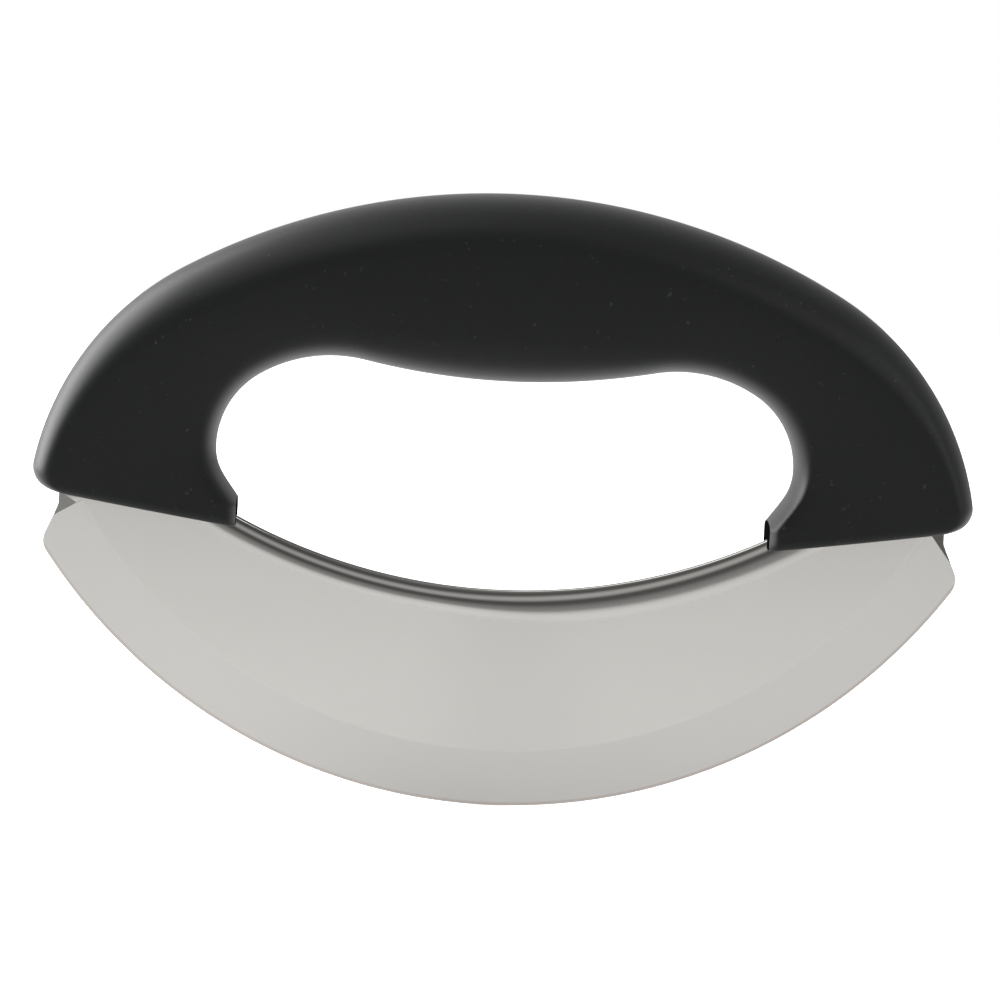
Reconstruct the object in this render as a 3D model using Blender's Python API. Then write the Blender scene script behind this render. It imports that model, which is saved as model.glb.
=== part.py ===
"""Rocker knife: a crescent blade rocked under a horseshoe handle.

The knife stands on its cutting edge. X runs along the blade, Y through its thickness and Z up, with the
origin at the lowest point of the edge, midway through the blade. It has three pieces: one stamped blade
with a tang at each end, a hard core moulded round both tangs, and a soft skin moulded over the core.
"""

import math

import bmesh
import bpy
import numpy as np

# Blade, in metres and degrees
BLADE_LENGTH = 0.1778
BLADE_THICKNESS = 0.0025
BLADE_DEPTH = 0.0425
EDGE_HALF_ANGLE = 55.1
EDGE_FLAT = 0.0002
HONED_HEIGHT = 0.0006
HONED_THICKNESS = 0.0006
GRIND_HEIGHT = 0.0110
GRIND_OVERRUN = 10.0
TIP_RADIUS = 0.0040
NECK_LEAN = 24.0
NECK_RUN = 0.0056
NECK_RADIUS = 0.0020
NECK_SHOWN = 0.0025
NECK_SEAT = 0.0030
NECK_FLAT_WIDTH = 0.0025
NECK_FLAT_TILT = 12.0
SPINE_RADIUS = 0.1153
SPINE_LAND = 0.0005
SPINE_EASE_HEIGHT = 0.0050
SPINE_RUNS_ON = 0.0050

# Tangs, hidden in the legs of the handle
TANG_COVER = 0.0062
TANG_LENGTH = 0.0200
TANG_ROOT = 0.0045
TANG_CORNER = 0.0035
TANG_STATIONS = 4
TANG_CORNER_STEP = 12.0
ANCHOR_RADIUS = 0.0025
ANCHOR_MARGIN = 0.0025
ANCHOR_RISE = 0.0120

# Finger opening: the room over the spine, then the curves of its outline from the middle to the foot
FINGER_ROOM = 0.0407
BELLY_RADIUS = 0.1370
CREST_RADIUS = 0.0276
CREST_TURN = 43.2
LOBE_RADIUS = 0.0170
LOBE_UNDERCUT = 0.0051
WAIST_LEAN = 36.0
WAIST_PULL = 0.4
WAIST_STEPS = 12
FOOT_LENGTH = 0.0379
FOOT_FACET = 0.0038
FOOT_LAP = 0.0012

# Outside of the handle
GRIP_DEPTH = 0.0363
CROWN_RADIUS = 0.1275
SHOULDER_RADIUS = 0.0569
SHOULDER_REACH = 0.0033
FOOT_CORNER = 0.0042
FOOT_EDGE = 0.0016

# Cross-section of the handle
GRIP_THICKNESS = 0.0260
FOOT_THICKNESS = 0.0215
FACE_CROWN = 0.0009
OUTER_ROUND = 0.0100
OUTER_ROUND_FOOT = 0.0042
INNER_ROUND = 0.0085
INNER_ROUND_FOOT = 0.0055
ROUND_REACH = 0.0400
THICKNESS_REACH = 0.0650

# Core and skin
SKIN_WALL = 0.0028
LEAST_ROUND = 0.0015
GAP = 0.0003
OVERRUN = 0.0020

# Fineness of the curves
EDGE_STEPS = 56
SPINE_STEPS = 36
EASE_STEPS = 6
EASE_CROWDING = 1.8
PEG_SIDES = 24
ARC_STEP = 3.0
SKIN_RUNGS = 34
CORE_RUNGS = 24
SKIN_ROUND_STEPS = 5
CORE_ROUND_STEPS = 3
FACE_STEPS = 3
RUNG_CROWDING = 1.5
BLADE_SHARP_ANGLE = 20.0
HANDLE_SHARP_ANGLE = 40.0

# Places worked out from the sizes: the rocking arc, heights, and the inner end of each foot
EDGE_RADIUS = TIP_RADIUS + (BLADE_LENGTH / 2 - TIP_RADIUS) / math.sin(math.radians(EDGE_HALF_ANGLE))
EDGE_CENTRE = EDGE_RADIUS
SPINE_CENTRE = BLADE_DEPTH + SPINE_RADIUS
BELLY_HEIGHT = BLADE_DEPTH + FINGER_ROOM
CROWN_HEIGHT = BELLY_HEIGHT + GRIP_DEPTH
FOOT_INNER = BLADE_LENGTH / 2 - FOOT_LENGTH


def direction(heading):
    """Unit vector in the XZ plane, its heading in degrees turned up from +X."""
    return np.array([math.cos(math.radians(heading)), math.sin(math.radians(heading))])


def walk(start, heading, legs):
    """Points along a chain of arcs that run smoothly into each other.

    Each leg is a radius and the degrees it turns, positive to the left; a leg that turns by 0 is a
    straight run of that length.
    """
    point = np.array(start, dtype=float)
    points = [point]
    for size, turn in legs:
        if turn == 0:
            point = point + size * direction(heading)
            points.append(point)
            continue
        side = math.copysign(90.0, turn)
        centre = point + size * direction(heading + side)
        steps = max(2, math.ceil(abs(turn) / ARC_STEP))
        for step in range(1, steps + 1):
            points.append(centre - size * direction(heading + side + turn * step / steps))
        point = points[-1]
        heading += turn
    return points


def swept_run(start, heading, end, end_heading, pull, steps):
    """Points of a cubic curve that leaves one point and reaches another at given headings.

    Its two handles are as long as the given share of the distance between the points.
    """
    reach = pull * np.linalg.norm(end - start)
    leaving = start + reach * direction(heading)
    arriving = end - reach * direction(end_heading)
    points = []
    for step in range(1, steps + 1):
        t = step / steps
        near = (1 - t) ** 3 * start + 3 * t * (1 - t) ** 2 * leaving
        points.append(near + 3 * t**2 * (1 - t) * arriving + t**3 * end)
    return points


def along(points, shares):
    """Points at the given shares of a polyline's length."""
    points = np.array(points)
    travelled = np.concatenate([[0.0], np.cumsum(np.linalg.norm(np.diff(points, axis=0), axis=1))])
    places = np.array(shares) * travelled[-1]
    return np.stack([np.interp(places, travelled, points[:, axis]) for axis in (0, 1)], axis=-1)


def length_of(points):
    """Length of a polyline."""
    return float(np.sum(np.linalg.norm(np.diff(np.array(points), axis=0), axis=1)))


def mirrored(points):
    """The same points on the left half, in the opposite order."""
    return [np.array([-x, z]) for x, z in reversed(points)]


def spine_point(x):
    """Point on top of the spine at a distance along the blade."""
    return np.array([x, SPINE_CENTRE - math.sqrt(SPINE_RADIUS**2 - x**2)])


def tip_outline():
    """Round the right tip of the blade, from the edge to where the neck's slope starts."""
    start = np.array([0.0, EDGE_CENTRE]) + EDGE_RADIUS * direction(EDGE_HALF_ANGLE - 90.0)
    return walk(start, EDGE_HALF_ANGLE, [(TIP_RADIUS, 90.0 + NECK_LEAN - EDGE_HALF_ANGLE)])[1:]


def neck_outline():
    """From the tip, in along a slope and up into the neck."""
    return walk(TIP[-1], 90.0 + NECK_LEAN, [(NECK_RUN, 0), (NECK_RADIUS, -NECK_LEAN)])[1:]


# The right foot ends in a plane that runs from the spine, at its inner end, to a point up the neck
TIP = tip_outline()
NECK = neck_outline()
FOOT_START = spine_point(FOOT_INNER) - np.array([0.0, FOOT_LAP])
FOOT_END = NECK[-1] + np.array([0.0, NECK_SHOWN])
FOOT_RISE = math.degrees(math.atan2(FOOT_END[1] - FOOT_START[1], FOOT_END[0] - FOOT_START[0]))
FOOT_UP = direction(FOOT_RISE + 90.0)


# Outlines of the handle, right half, from the middle to the foot


def over_foot(point):
    """Height of a point over the plane in which the right foot ends."""
    return float(np.dot(np.array(point) - FOOT_START, FOOT_UP))


def inner_outline():
    """The finger opening: belly, crest and lobe arcs, a waist that leans in, and the foot's upright facet.

    The belly turns as far as brings the lobe to its undercut over the foot, and the lobe turns until it
    runs straight down.
    """
    over = FOOT_INNER + LOBE_UNDERCUT - LOBE_RADIUS
    drop = (CREST_RADIUS - LOBE_RADIUS) * direction(CREST_TURN)
    across = BELLY_RADIUS + CREST_RADIUS - drop[0]
    belly_turn = math.degrees(math.asin(over / math.hypot(across, drop[1])) - math.atan2(drop[1], across))
    arcs = walk(
        (0.0, BELLY_HEIGHT),
        0.0,
        [
            (BELLY_RADIUS, belly_turn),
            (CREST_RADIUS, -CREST_TURN),
            (LOBE_RADIUS, -(90.0 + belly_turn - CREST_TURN)),
        ],
    )
    facet_top = FOOT_START + np.array([0.0, FOOT_FACET])
    waist = swept_run(arcs[-1], -90.0, facet_top, -90.0 - WAIST_LEAN, WAIST_PULL, WAIST_STEPS)
    return arcs + waist + [FOOT_START]


def outer_outline():
    """Crown arc, tighter shoulder arc, then a rounded corner that runs into the plane of the foot.

    The crown turns as far as brings the shoulder's arc to its reach past the tip of the blade.
    """
    over = BLADE_LENGTH / 2 + SHOULDER_REACH - SHOULDER_RADIUS
    crown_turn = math.degrees(math.asin(over / (CROWN_RADIUS - SHOULDER_RADIUS)))
    crown = walk((0.0, CROWN_HEIGHT), 0.0, [(CROWN_RADIUS, -crown_turn)])
    centre = crown[-1] - SHOULDER_RADIUS * direction(90.0 - crown_turn)
    corner_up = FOOT_CORNER - over_foot(centre)
    corner_along = math.sqrt((SHOULDER_RADIUS - FOOT_CORNER) ** 2 - corner_up**2)
    leaves_at = math.degrees(math.atan2(corner_up, corner_along)) + FOOT_RISE
    shoulder_turn = 90.0 - crown_turn - leaves_at
    corner_turn = 90.0 + leaves_at - FOOT_RISE
    legs = [(SHOULDER_RADIUS, -shoulder_turn), (FOOT_CORNER, -corner_turn)]
    return crown + walk(crown[-1], -crown_turn, legs)[1:]


INNER = inner_outline()
OUTER = outer_outline()
INNER_LENGTH = length_of(INNER)


def rung(share, inset=0.0):
    """Ends of a line across the handle, at a share of the way from its middle to the foot."""
    inner = along(INNER, [share])[0]
    outer = along(OUTER, [share])[0]
    across = (inner - outer) / np.linalg.norm(inner - outer)
    return outer + inset * across, inner - inset * across


def share_at(rise):
    """Share of the way down the leg that lies a given length above its foot."""
    return 1.0 - rise / INNER_LENGTH


# Blade outline


def offset(points, grow):
    """A closed counter-clockwise outline, moved out by a small amount."""
    points = np.array(points)
    if grow == 0:
        return points
    before = points - np.roll(points, 1, axis=0)
    after = np.roll(points, -1, axis=0) - points
    before /= np.linalg.norm(before, axis=1)[:, None]
    after /= np.linalg.norm(after, axis=1)[:, None]
    normal = np.stack([before[:, 1] + after[:, 1], -before[:, 0] - after[:, 0]], axis=-1)
    normal /= np.linalg.norm(normal, axis=1)[:, None]
    spread = normal[:, 0] * after[:, 1] - normal[:, 1] * after[:, 0]
    return points + grow * normal / spread[:, None]


def rounded(before, corner, after, radius):
    """An arc between two straight runs that meet at a corner."""
    toward = (before - corner) / np.linalg.norm(before - corner)
    away = (after - corner) / np.linalg.norm(after - corner)
    half = math.acos(float(np.dot(toward, away))) / 2
    middle = (toward + away) / np.linalg.norm(toward + away)
    centre = corner + middle * radius / math.sin(half)
    start = corner + toward * radius / math.tan(half) - centre
    end = corner + away * radius / math.tan(half) - centre
    steps = max(2, math.ceil(math.degrees(math.pi - 2 * half) / TANG_CORNER_STEP))
    turn = math.atan2(start[0] * end[1] - start[1] * end[0], float(np.dot(start, end)))
    arc = []
    for step in range(steps + 1):
        angle = turn * step / steps
        cos, sin = math.cos(angle), math.sin(angle)
        arc.append(centre + np.array([start[0] * cos - start[1] * sin, start[0] * sin + start[1] * cos]))
    return arc


def tang_outline():
    """Right tang: up its outer side, over the top and down to the spine, inside the leg of the handle."""
    root, top = share_at(TANG_ROOT), share_at(TANG_LENGTH)
    shares = np.linspace(root, top, TANG_STATIONS)
    outer = [rung(share, TANG_COVER)[0] for share in shares]
    inner = [rung(share, TANG_COVER)[1] for share in shares]
    over = rounded(outer[-2], outer[-1], inner[-1], TANG_CORNER)
    over += rounded(outer[-1], inner[-1], inner[-2], TANG_CORNER)
    return outer[:-1] + over + inner[-2::-1]


def blade_outline():
    """Edge arc, then the tip, neck and tang of the right end, the spine arc and the left end mirrored."""
    angles = np.linspace(-EDGE_HALF_ANGLE, EDGE_HALF_ANGLE, EDGE_STEPS + 1)
    edge = [np.array([0.0, EDGE_CENTRE]) + EDGE_RADIUS * direction(a - 90.0) for a in angles]
    seat = FOOT_END + np.array([0.0, NECK_SEAT])
    right = TIP + NECK + [seat] + tang_outline()
    reach = math.degrees(math.asin((FOOT_INNER + SPINE_RUNS_ON) / SPINE_RADIUS))
    angles = np.linspace(reach, -reach, SPINE_STEPS + 1)
    spine = [np.array([0.0, SPINE_CENTRE]) + SPINE_RADIUS * direction(a - 90.0) for a in angles]
    return edge + right + spine + mirrored(right)


# Meshes and objects


def remove_everything():
    for item in list(bpy.data.objects):
        bpy.data.objects.remove(item, do_unlink=True)


def make_material(name, colour, roughness, metallic):
    material = bpy.data.materials.new(name)
    material.use_nodes = True
    shader = material.node_tree.nodes["Principled BSDF"]
    shader.inputs["Base Color"].default_value = (*colour, 1.0)
    shader.inputs["Roughness"].default_value = roughness
    shader.inputs["Metallic"].default_value = metallic
    return material


def make_object(name, bm, sharp_angle=None, material=None):
    """A new object from a bmesh, with its faces turned outward."""
    bmesh.ops.recalc_face_normals(bm, faces=bm.faces)
    mesh = bpy.data.meshes.new(name)
    bm.to_mesh(mesh)
    bm.free()
    if sharp_angle is not None:
        mesh.shade_smooth()
        mesh.set_sharp_from_angle(angle=math.radians(sharp_angle))
    if material is not None:
        mesh.materials.append(material)
    item = bpy.data.objects.new(name, mesh)
    bpy.context.scene.collection.objects.link(item)
    return item


def make_cutter(name, bm):
    cutter = make_object(name, bm)
    cutter.hide_render = True
    cutter.display_type = "WIRE"
    return cutter


def subtract(item, cutter):
    cut = item.modifiers.new(cutter.name, "BOOLEAN")
    cut.operation = "DIFFERENCE"
    cut.solver = "EXACT"
    cut.object = cutter


def add_loop(bm, points):
    return [bm.verts.new(point) for point in points]


def loft(bm, loops):
    """Closed solid through a row of closed loops of equal length, with a face at each end."""
    rows = [add_loop(bm, loop) for loop in loops]
    for row, following in zip(rows, rows[1:]):
        for i, vertex in enumerate(row):
            j = (i + 1) % len(row)
            bm.faces.new((vertex, row[j], following[j], following[i]))
    bm.faces.new(reversed(rows[0]))
    bm.faces.new(rows[-1])


def plate(outline, thickness):
    """An outline in the XZ plane, extruded evenly to both sides of Y = 0."""
    bm = bmesh.new()
    face = bm.faces.new(add_loop(bm, [(x, -thickness / 2, z) for x, z in outline]))
    extruded = bmesh.ops.extrude_face_region(bm, geom=[face])
    moved = [part for part in extruded["geom"] if isinstance(part, bmesh.types.BMVert)]
    bmesh.ops.translate(bm, vec=(0.0, thickness, 0.0), verts=moved)
    return bm


def wheel(profile, centre, half_angle, steps):
    """Cutter for both faces: a profile of (radius, distance from Y = 0), swept about an axis along Y."""
    bm = bmesh.new()
    for side in (-1.0, 1.0):
        loops = []
        for angle in np.linspace(-half_angle, half_angle, steps + 1):
            x, z = direction(angle - 90.0)
            loops.append([(radius * x, side * y, centre + radius * z) for radius, y in profile])
        loft(bm, loops)
    return bm


def pegs(radius, length):
    """A peg through each anchor hole, across the blade, one near each side of each tang."""
    bm = bmesh.new()
    circle = [direction(360.0 * step / PEG_SIDES) * radius for step in range(PEG_SIDES)]
    for x, z in rung(share_at(ANCHOR_RISE), TANG_COVER + ANCHOR_MARGIN + ANCHOR_RADIUS):
        for side in (-1.0, 1.0):
            loft(bm, [[(side * x + cx, y, z + cz) for cx, cz in circle] for y in (-length / 2, length / 2)])
    return bm


# Blade


def make_grinding_wheel():
    """The primary grind and the honed edge, both swept about the centre of the rocking arc.

    Past the edge the wheel's two sides stay half a flat apart.
    """
    half = BLADE_THICKNESS / 2
    slope = (half - HONED_THICKNESS / 2) / (GRIND_HEIGHT - HONED_HEIGHT)
    hone_slope = (HONED_THICKNESS / 2 - EDGE_FLAT / 2) / HONED_HEIGHT
    closest = EDGE_FLAT / 4
    past = (EDGE_FLAT / 2 - closest) / hone_slope
    clear = half + OVERRUN
    profile = [
        (EDGE_RADIUS - GRIND_HEIGHT - OVERRUN, half + OVERRUN * slope),
        (EDGE_RADIUS - HONED_HEIGHT, HONED_THICKNESS / 2),
        (EDGE_RADIUS + past, closest),
        (EDGE_RADIUS + OVERRUN, closest),
        (EDGE_RADIUS + OVERRUN, clear),
        (EDGE_RADIUS - GRIND_HEIGHT - OVERRUN, clear),
    ]
    step = 2 * EDGE_HALF_ANGLE / EDGE_STEPS
    extra = math.ceil(GRIND_OVERRUN / step)
    half_angle = EDGE_HALF_ANGLE + (extra + 0.5) * step
    return make_cutter("grinding_wheel", wheel(profile, EDGE_CENTRE, half_angle, EDGE_STEPS + 2 * extra + 1))


def make_spine_wheel():
    """Eases the corners of the spine between the feet with a half-hollow swept along it.

    Going down from the top of the spine, the half thickness grows as a quarter of an ellipse: quickly at
    the land, then ever more slowly into the flat of the blade.
    """
    half = BLADE_THICKNESS / 2
    land = SPINE_LAND / 2
    profile = []
    for step in range(EASE_STEPS):
        depth = SPINE_EASE_HEIGHT * (step / EASE_STEPS) ** EASE_CROWDING
        rise = math.sqrt(1 - (1 - depth / SPINE_EASE_HEIGHT) ** 2)
        profile.append((SPINE_RADIUS + depth, land + (half - land) * rise))
    (first, start), (second, onward) = profile[:2]
    lead = start / 2 * (second - first) / (onward - start)
    profile.insert(0, (SPINE_RADIUS - lead, start / 2))
    (before, inside), (last, outside) = profile[-2:]
    slope = (outside - inside) / (last - before)
    reach = (half - outside) / slope + GAP
    clear = half + OVERRUN
    profile.append((last + reach, outside + reach * slope))
    profile.append((last + reach, clear))
    profile.append((SPINE_RADIUS - OVERRUN, clear))
    profile.append((SPINE_RADIUS - OVERRUN, land / 2))
    reach = math.degrees(math.asin((FOOT_INNER + SKIN_WALL / 2) / SPINE_RADIUS))
    return make_cutter("spine_wheel", wheel(profile, SPINE_CENTRE, reach, SPINE_STEPS - 1))


def ground_half(point):
    """Half thickness that the primary grind leaves at a point of the blade's face."""
    depth = EDGE_RADIUS - math.hypot(point[0], point[1] - EDGE_CENTRE)
    share = (depth - HONED_HEIGHT) / (GRIND_HEIGHT - HONED_HEIGHT)
    return (HONED_THICKNESS + (BLADE_THICKNESS - HONED_THICKNESS) * min(share, 1.0)) / 2


def make_neck_files():
    """Files a flat on both faces of each neck, from the foot down to halfway along the neck's slope.

    The flat starts at a line down the face and falls away towards the edge of the neck. It runs just
    into the foot, over which the neck has its full thickness again.
    """
    foot = direction(FOOT_RISE)
    top = FOOT_END - NECK_FLAT_WIDTH * foot + GAP * FOOT_UP
    bottom = TIP[-1] + NECK_RUN / 2 * direction(90.0 + NECK_LEAN)
    line = (bottom - top) / np.linalg.norm(bottom - top)
    outward = np.array([-line[1], line[0]])
    sink = (ground_half(bottom) - ground_half(top)) / np.linalg.norm(bottom - top)
    fall = math.tan(math.radians(NECK_FLAT_TILT))
    corners = [
        top - NECK_FLAT_WIDTH / 2 * foot,
        bottom + OVERRUN * line - NECK_FLAT_WIDTH / 2 * outward,
        bottom + OVERRUN * line + OVERRUN * outward,
        top + (NECK_FLAT_WIDTH + OVERRUN) * foot,
    ]
    away = [corner - top for corner in corners]
    heights = [ground_half(top) + np.dot(p, line) * sink - np.dot(p, outward) * fall for p in away]
    bm = bmesh.new()
    for side in (-1.0, 1.0):
        for face in (-1.0, 1.0):
            filed = [(side * x, face * y, z) for (x, z), y in zip(corners, heights)]
            clear = [(side * x, face * (BLADE_THICKNESS / 2 + OVERRUN), z) for x, z in corners]
            loft(bm, [filed, clear])
    return make_cutter("neck_files", bm)


def make_blade():
    steel = make_material("steel", (0.52, 0.515, 0.495), 0.28, 1.0)
    blade = make_object("blade", plate(blade_outline(), BLADE_THICKNESS), BLADE_SHARP_ANGLE, steel)
    subtract(blade, make_cutter("anchor_drill", pegs(ANCHOR_RADIUS, BLADE_THICKNESS + OVERRUN)))
    subtract(blade, make_spine_wheel())
    subtract(blade, make_grinding_wheel())
    subtract(blade, make_neck_files())
    return blade


# Handle


def blend(start, end, share):
    """Runs smoothly from start to end as share goes from 0 to 1."""
    share = min(max(share, 0.0), 1.0)
    return start + (end - start) * share * share * (3.0 - 2.0 * share)


def section(share, inset, round_steps):
    """Closed loop round the handle at one rung: front from the outer to the inner side, then the back.

    Each corner is a quarter of an ellipse, from the parting line at Y = 0 to the broad face, which
    swells a little towards the middle. Towards the plane of the foot the loop draws in to round its rim.
    """
    outer, inner = rung(share, inset)
    width = float(np.linalg.norm(inner - outer))
    rise = (1.0 - share) * INNER_LENGTH
    outer_round = max(blend(OUTER_ROUND_FOOT, OUTER_ROUND, rise / ROUND_REACH) - inset, LEAST_ROUND)
    inner_round = max(blend(INNER_ROUND_FOOT, INNER_ROUND, rise / ROUND_REACH) - inset, LEAST_ROUND)
    half = blend(FOOT_THICKNESS, GRIP_THICKNESS, rise / THICKNESS_REACH) / 2 - inset
    quarter = np.radians(np.linspace(0.0, 90.0, round_steps + 1))
    face = np.linspace(outer_round, width - inner_round, FACE_STEPS + 1)[1:-1]
    places = np.concatenate(
        [outer_round * (1 - np.cos(quarter)), face, width - inner_round * (1 - np.cos(quarter[::-1]))]
    )
    heights = np.concatenate([np.sin(quarter), np.ones(len(face)), np.sin(quarter[::-1])])
    heights = heights * (half - FACE_CROWN * (2 * places / width - 1) ** 2)
    points = outer + places[:, None] * (inner - outer) / width
    loop = []
    for (x, z), y in zip(points, heights):
        up = over_foot((x, z))
        if up < FOOT_EDGE:
            short = FOOT_EDGE - max(up, 0.0)
            drawn = FOOT_EDGE - math.sqrt(FOOT_EDGE**2 - short**2)
            y *= 1.0 - drawn / half
        loop.append((x, y, z))
    return loop + [(x, -y, z) for x, y, z in loop[-2:0:-1]]


def handle_solid(inset, rungs, round_steps, overrun=0.0):
    """The horseshoe, lofted from the left foot over the crown to the right foot.

    A cutter overruns the feet, and its last rung lies just past their plane.
    """
    shares = 1.0 - (1.0 - np.linspace(0.0, 1.0, rungs + 1)) ** RUNG_CROWDING
    right = [section(share, inset, round_steps) for share in shares]
    if overrun:
        last = right.pop()
        for past in (GAP, overrun):
            x, z = -past * FOOT_UP
            right.append([(px + x, py, pz + z) for px, py, pz in last])
    left = [[(-x, y, z) for x, y, z in loop] for loop in right[:0:-1]]
    bm = bmesh.new()
    loft(bm, left + right)
    return bm


def make_core():
    """Hard moulded core, flush with the feet, with a peg of its own through each hole of the tangs."""
    plastic = make_material("hard_plastic", (0.03, 0.03, 0.032), 0.45, 0.0)
    inside = handle_solid(SKIN_WALL, CORE_RUNGS, CORE_ROUND_STEPS)
    core = make_object("handle_core", inside, HANDLE_SHARP_ANGLE, plastic)
    pocket = make_cutter("tang_pocket", plate(offset(blade_outline(), GAP), BLADE_THICKNESS + 2 * GAP))
    subtract(pocket, make_cutter("core_pegs", pegs(ANCHOR_RADIUS - GAP, BLADE_THICKNESS + OVERRUN)))
    subtract(core, pocket)
    return core


def make_grip():
    """Soft skin round the core, open at the feet, where the blade passes through its rim."""
    rubber = make_material("soft_rubber", (0.013, 0.0135, 0.014), 0.6, 0.0)
    outside = handle_solid(0.0, SKIN_RUNGS, SKIN_ROUND_STEPS)
    grip = make_object("handle_grip", outside, HANDLE_SHARP_ANGLE, rubber)
    hollow = handle_solid(SKIN_WALL - GAP, CORE_RUNGS, CORE_ROUND_STEPS, OVERRUN)
    subtract(grip, make_cutter("core_hollow", hollow))
    slot = plate(offset(blade_outline(), GAP), BLADE_THICKNESS + 2 * GAP)
    subtract(grip, make_cutter("blade_slot", slot))
    return grip


def main():
    remove_everything()
    make_blade()
    make_core()
    make_grip()


main()
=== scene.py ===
"""Looks of a rocker knife: a satin crescent blade held at both ends by a soft black horseshoe grip.

The frame's units are metres. X runs along the blade, Y away from the viewer and Z up from the cutting edge.
The blade and the grip are made anew as fine surfaces round the same sizes as the frame's solids. The hard
core inside the grip stays the frame's own and gets its finish here.
"""

import math

import bmesh
import bpy
import numpy as np
from mathutils import Euler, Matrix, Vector


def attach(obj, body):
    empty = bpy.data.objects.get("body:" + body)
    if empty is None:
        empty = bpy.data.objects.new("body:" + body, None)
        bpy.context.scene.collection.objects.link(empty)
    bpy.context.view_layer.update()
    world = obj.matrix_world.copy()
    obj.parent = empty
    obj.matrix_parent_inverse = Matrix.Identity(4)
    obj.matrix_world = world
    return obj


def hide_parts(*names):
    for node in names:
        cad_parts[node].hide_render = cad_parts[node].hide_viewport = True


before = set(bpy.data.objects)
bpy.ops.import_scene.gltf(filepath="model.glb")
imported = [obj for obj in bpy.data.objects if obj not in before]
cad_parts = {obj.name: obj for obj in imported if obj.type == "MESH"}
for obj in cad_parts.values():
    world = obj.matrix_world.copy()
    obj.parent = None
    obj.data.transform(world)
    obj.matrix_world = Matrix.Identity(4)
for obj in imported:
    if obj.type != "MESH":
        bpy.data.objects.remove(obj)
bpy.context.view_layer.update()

# Blade, in metres and degrees
BLADE_LENGTH = 0.1778
BLADE_THICKNESS = 0.0025
BLADE_DEPTH = 0.0425
EDGE_HALF_ANGLE = 55.1
EDGE_FLAT = 0.0002
HONED_HEIGHT = 0.0006
HONED_THICKNESS = 0.0006
GRIND_HEIGHT = 0.0110
TIP_RADIUS = 0.0040
NECK_LEAN = 24.0
NECK_RUN = 0.0056
NECK_RADIUS = 0.0020
NECK_SHOWN = 0.0025
# Width along the foot, drop below it, share of the slope, and tilt in degrees, of the left and the right flat
NECK_FLATS = {-1.0: (0.0040, 0.0019, 0.60, 6.6), 1.0: (0.0030, 0.0002, 0.30, 12.5)}
BORDER_ROUND = 0.00015
SPINE_RADIUS = 0.1153
SPINE_LAND = 0.0005
SPINE_EASE_HEIGHT = 0.0052
SPINE_EASE_UNEVEN = 0.0008
SPINE_EASE_SHIFT = 0.0150

# How far the neck, the spine and its ease run on inside the grip, and a neck's file past its own line
NECK_SEAT = 0.0030
SPINE_RUNS_ON = 0.0050
EASE_RUNS_ON = 0.0090
NECK_GIVE = 0.0010

# Tangs, hidden in the legs of the grip
TANG_COVER = 0.0062
TANG_LENGTH = 0.0200
TANG_ROOT = 0.0045
TANG_CORNER = 0.0035
ANCHOR_RADIUS = 0.0025
ANCHOR_MARGIN = 0.0025
ANCHOR_RISE = 0.0120

# Finger opening
FINGER_ROOM = 0.0407
BELLY_RADIUS = 0.1370
CREST_RADIUS = 0.0276
CREST_TURN = 43.2
LOBE_RADIUS = 0.0170
LOBE_UNDERCUT = 0.0051
WAIST_LEAN = 36.0
WAIST_PULL = 0.4
FOOT_LENGTH = 0.0379
FOOT_FACET = 0.0052
FACET_SETBACK = 0.0006
NOSE_RUN = 0.0010
NOSE_RADIUS = 0.0010
FOOT_LAP = 0.0012

# Outside of the grip
GRIP_DEPTH = 0.0363
CROWN_RADIUS = 0.1275
SHOULDER_RADIUS = 0.0569
SHOULDER_REACH = 0.0033
FOOT_CORNER = 0.0042
FOOT_EDGE = 0.0016

# Cross-section of the grip
GRIP_THICKNESS = 0.0260
FOOT_THICKNESS = 0.0215
FACE_CROWN = 0.0009
OUTER_ROUND = 0.0100
OUTER_ROUND_FOOT = 0.0042
INNER_ROUND = 0.0085
INNER_ROUND_FOOT = 0.0027
ROUND_REACH = 0.0400
INNER_ROUND_REACH = 0.0900
THICKNESS_REACH = 0.0650
SKIN_WALL = 0.0028
LEAST_ROUND = 0.0015

# Fits: the gap that the solids keep, and the play of these finer surfaces beside the solids
SEAT = 0.0003
SNUG = 0.00004

# Fineness of the surfaces
PATH_STEP = 0.0001
EDGE_COLUMNS = 150
NECK_COLUMNS = 60
TANG_COLUMNS = 30
RUNGS = 190
RUNG_CROWDING = 1.5
CORNER_STEPS = 14
FACE_STEPS = 10
EASE_ROWS = 34
EASE_CROWDING = 2.2
GRIND_ROWS = 24
FLAT_ROWS = 8
CREASE_STEP = 0.000275
TANG_STATIONS = 12
TANG_CORNER_STEPS = 24
HOLE_STEPS = 48
SLOT_STRIDE = 3
BLADE_SHARP_ANGLE = 9.0
GRIP_SHARP_ANGLE = 35.0
WELD = 0.000002
SLIVER = 0.000001

# Finishes; a pattern is (scale, detail, roughness) of its noise, and its relief is (depth, strength)
BLACK = (0.0, 0.0, 0.0, 1.0)
STEEL_COLOUR = (0.478, 0.470, 0.448, 1.0)
# Painted shade: a darker copy of the steel's colour for the grind, the spine's ease and the filed flats
SHADED_STEEL_COLOUR = (0.416, 0.408, 0.390, 1.0)
HONED_COLOUR = (0.350, 0.320, 0.300, 1.0)
FACE_ROUGHNESS = 0.28
SPINE_ROUGHNESS = 0.09
SATIN_FADE = 0.0008
GRIND_FADE = 0.00028
HONED_FROM = 0.00072
HONED_FULL = 0.00054
LINES = (4000.0, 3.0, 0.6)
LINE_STRETCH = (1.0, 1.0, 0.02)
LINE_RELIEF = (0.00002, 0.25)
LINE_ROUGHNESS = 0.06
CLOUDS = (45.0, 3.0, 0.5)
STEEL_TONE = 0.965
LINE_TONE = 0.04
CLOUD_TONE = 0.03
BAND_MIDDLE = 0.0040
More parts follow.
